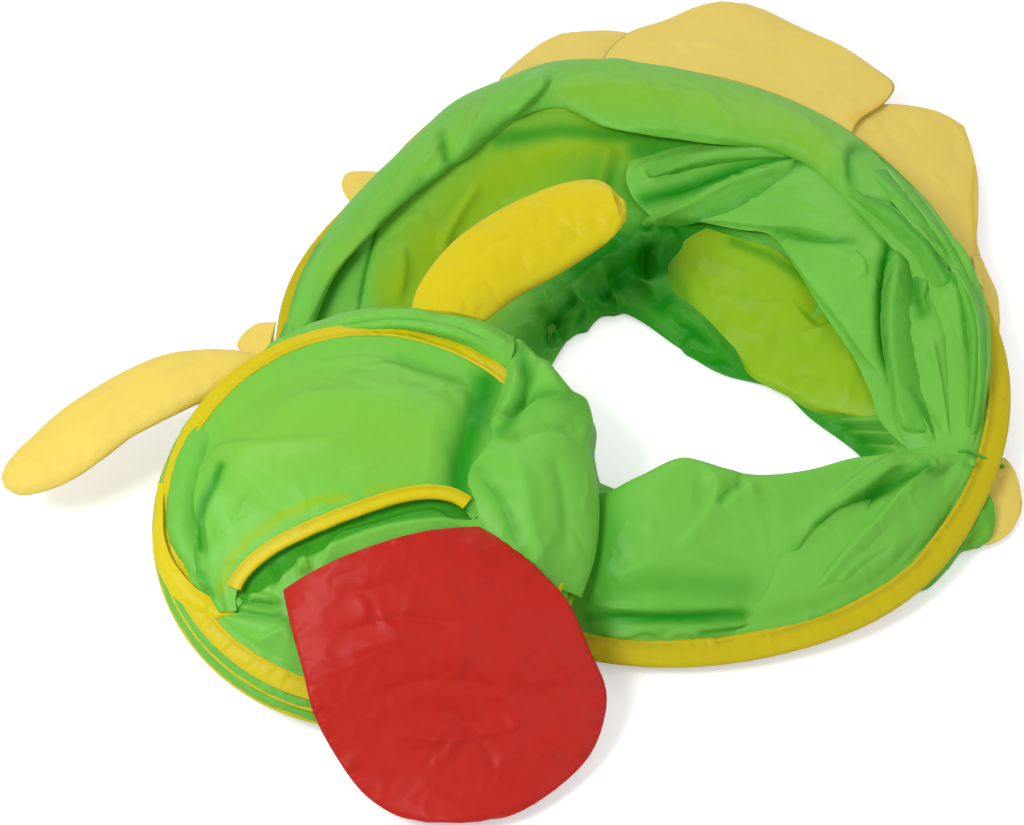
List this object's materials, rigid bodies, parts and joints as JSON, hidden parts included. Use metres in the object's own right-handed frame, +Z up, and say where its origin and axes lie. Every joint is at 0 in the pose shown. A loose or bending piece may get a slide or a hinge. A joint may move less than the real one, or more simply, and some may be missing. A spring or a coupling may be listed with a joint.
{
  "type": "collapsed crawl tunnel",
  "caption": "Collapsed crawl tunnel of slack green cloth on spring-wire hoops, with a domed face, open mouth, padded tongue and horns, and fins round its back.",
  "frame": {"origin": "on the floor, under the middle of the bounding box", "axes": "+Z up, square to the floor the tunnel lies on; +Y from the tongue across the ring to the far fins; +X from the left horn across the ring"},
  "size_m": [1.209, 1.2926, 0.2419],
  "materials": {
    "green_nylon": "thin, slightly shiny woven nylon that lets some light through",
    "yellow_nylon": "woven nylon, doubled, slightly shiny",
    "pale_yellow_nylon": "woven nylon over thin wadding, matt",
    "red_nylon": "woven nylon over wadding, puckered at the seams, matt",
    "spring_steel": "bright drawn wire and crimped sleeves",
    "polyester_wadding": "soft white fibre filling"
  },
  "bodies": {
    "base": {"base_hoop_wire": "spring_steel", "base_hoop_ferrule": "spring_steel", "base_hoop_casing": "yellow_nylon", "lower_sleeve": "green_nylon"},
    "middle": {"middle_hoop_wire": "spring_steel", "middle_hoop_ferrule": "spring_steel", "middle_hoop_casing": "yellow_nylon", "upper_sleeve": "green_nylon"},
    "top": {"top_hoop_wire": "spring_steel", "top_hoop_ferrule": "spring_steel", "top_hoop_casing": "yellow_nylon", "tie_cord": "green_nylon", "tie_knot": "green_nylon"},
    "head": {"head_back_hoop_wire": "spring_steel", "head_back_hoop_ferrule": "spring_steel", "head_back_hoop_casing": "yellow_nylon", "head_rear_sleeve": "green_nylon", "neck_sleeve": "green_nylon"},
    "head_middle": {"head_middle_hoop_wire": "spring_steel", "head_middle_hoop_ferrule": "spring_steel", "head_middle_hoop_casing": "yellow_nylon", "head_front_sleeve": "green_nylon"},
    "head_front": {"head_front_hoop_wire": "spring_steel", "head_front_hoop_ferrule": "spring_steel", "head_front_hoop_casing": "yellow_nylon", "face_panel": "green_nylon", "chin_panel": "green_nylon", "mouth_binding": "yellow_nylon", "mouth_wire": "spring_steel", "neck_fold": "green_nylon"},
    "tongue": {"tongue_cover": "red_nylon", "tongue_padding": "polyester_wadding"},
    "left_horn": {"left_horn_cover": "pale_yellow_nylon", "left_horn_filling": "polyester_wadding"},
    "right_horn": {"right_horn_cover": "yellow_nylon", "right_horn_filling": "polyester_wadding"},
    "fin_1": {"fin_1": "pale_yellow_nylon"},
    "fin_2": {"fin_2": "pale_yellow_nylon"},
    "fin_3": {"fin_3": "pale_yellow_nylon"},
    "fin_4": {"fin_4": "pale_yellow_nylon"},
    "fin_5": {"fin_5": "pale_yellow_nylon"},
    "fin_6": {"fin_6": "pale_yellow_nylon"},
    "fin_7": {"fin_7": "pale_yellow_nylon"}
  },
  "joints": [
    {"name": "middle_hoop_lift", "type": "slide", "parent": "base", "child": "middle", "axis": [0, 0, 1], "range_m": [0, 0.4]},
    {"name": "top_hoop_lift", "type": "slide", "parent": "middle", "child": "top", "axis": [0, 0, 1], "range_m": [0, 0.4]},
    {"name": "head_lift", "type": "hinge", "parent": "top", "child": "head", "pos_m": [0.1472, -0.3074, 0.05], "axis": [0, 1, 0], "range_deg": [0, 60]},
    {"name": "head_middle_draw", "type": "slide", "parent": "head", "child": "head_middle", "axis": [0.0339, -0.2419, 0.9697], "range_m": [0, 0.15]},
    {"name": "head_front_draw", "type": "slide", "parent": "head_middle", "child": "head_front", "axis": [0.0339, -0.2419, 0.9697], "range_m": [0, 0.15]},
    {"name": "tongue_lift", "type": "hinge", "parent": "head_front", "child": "tongue", "pos_m": [-0.1535, -0.4178, 0.1629], "axis": [-0.9298, -0.3635, -0.0582], "range_deg": [0, 100]},
    {"name": "left_horn_lift", "type": "hinge", "parent": "head_front", "child": "left_horn", "pos_m": [-0.3546, -0.1617, 0.1725], "axis": [-0.2924, 0.9563, 0], "range_deg": [0, 50]},
    {"name": "right_horn_lift", "type": "hinge", "parent": "head_front", "child": "right_horn", "pos_m": [-0.0855, -0.1104, 0.1819], "axis": [0.6687, -0.6455, -0.3689], "range_deg": [0, 50]},
    {"name": "fin_1_lift", "type": "hinge", "parent": "top", "child": "fin_1", "pos_m": [-0.2974, 0.0159, 0.052], "axis": [0.0537, 0.9963, 0.0669], "range_deg": [0, 90]},
    {"name": "fin_2_lift", "type": "hinge", "parent": "top", "child": "fin_2", "pos_m": [-0.1957, 0.2412, 0.0671], "axis": [0.5729, 0.8178, 0.0549], "range_deg": [0, 90]},
    {"name": "fin_3_lift", "type": "hinge", "parent": "top", "child": "fin_3", "pos_m": [0.0357, 0.4388, 0.0807], "axis": [0.9707, 0.2396, 0.0161], "range_deg": [0, 90]},
    {"name": "fin_4_lift", "type": "hinge", "parent": "top", "child": "fin_4", "pos_m": [0.2792, 0.4234, 0.0798], "axis": [0.9401, -0.34, -0.0228], "range_deg": [0, 90]},
    {"name": "fin_5_lift", "type": "hinge", "parent": "top", "child": "fin_5", "pos_m": [0.4832, 0.2641, 0.069], "axis": [0.5431, -0.8378, -0.0562], "range_deg": [0, 90]},
    {"name": "fin_6_lift", "type": "hinge", "parent": "top", "child": "fin_6", "pos_m": [0.568, 0.0744, 0.0559], "axis": [0.2933, -0.9539, -0.064], "range_deg": [0, 90]},
    {"name": "fin_7_lift", "type": "hinge", "parent": "top", "child": "fin_7", "pos_m": [0.529, -0.2642, 0.0335], "axis": [-0.4876, -0.8711, -0.0585], "range_deg": [0, 90]}
  ],
  "couplings": [
    {"joint": "top_hoop_lift", "follows": "middle_hoop_lift", "ratio": 1},
    {"joint": "head_front_draw", "follows": "head_middle_draw", "ratio": 1}
  ]
}
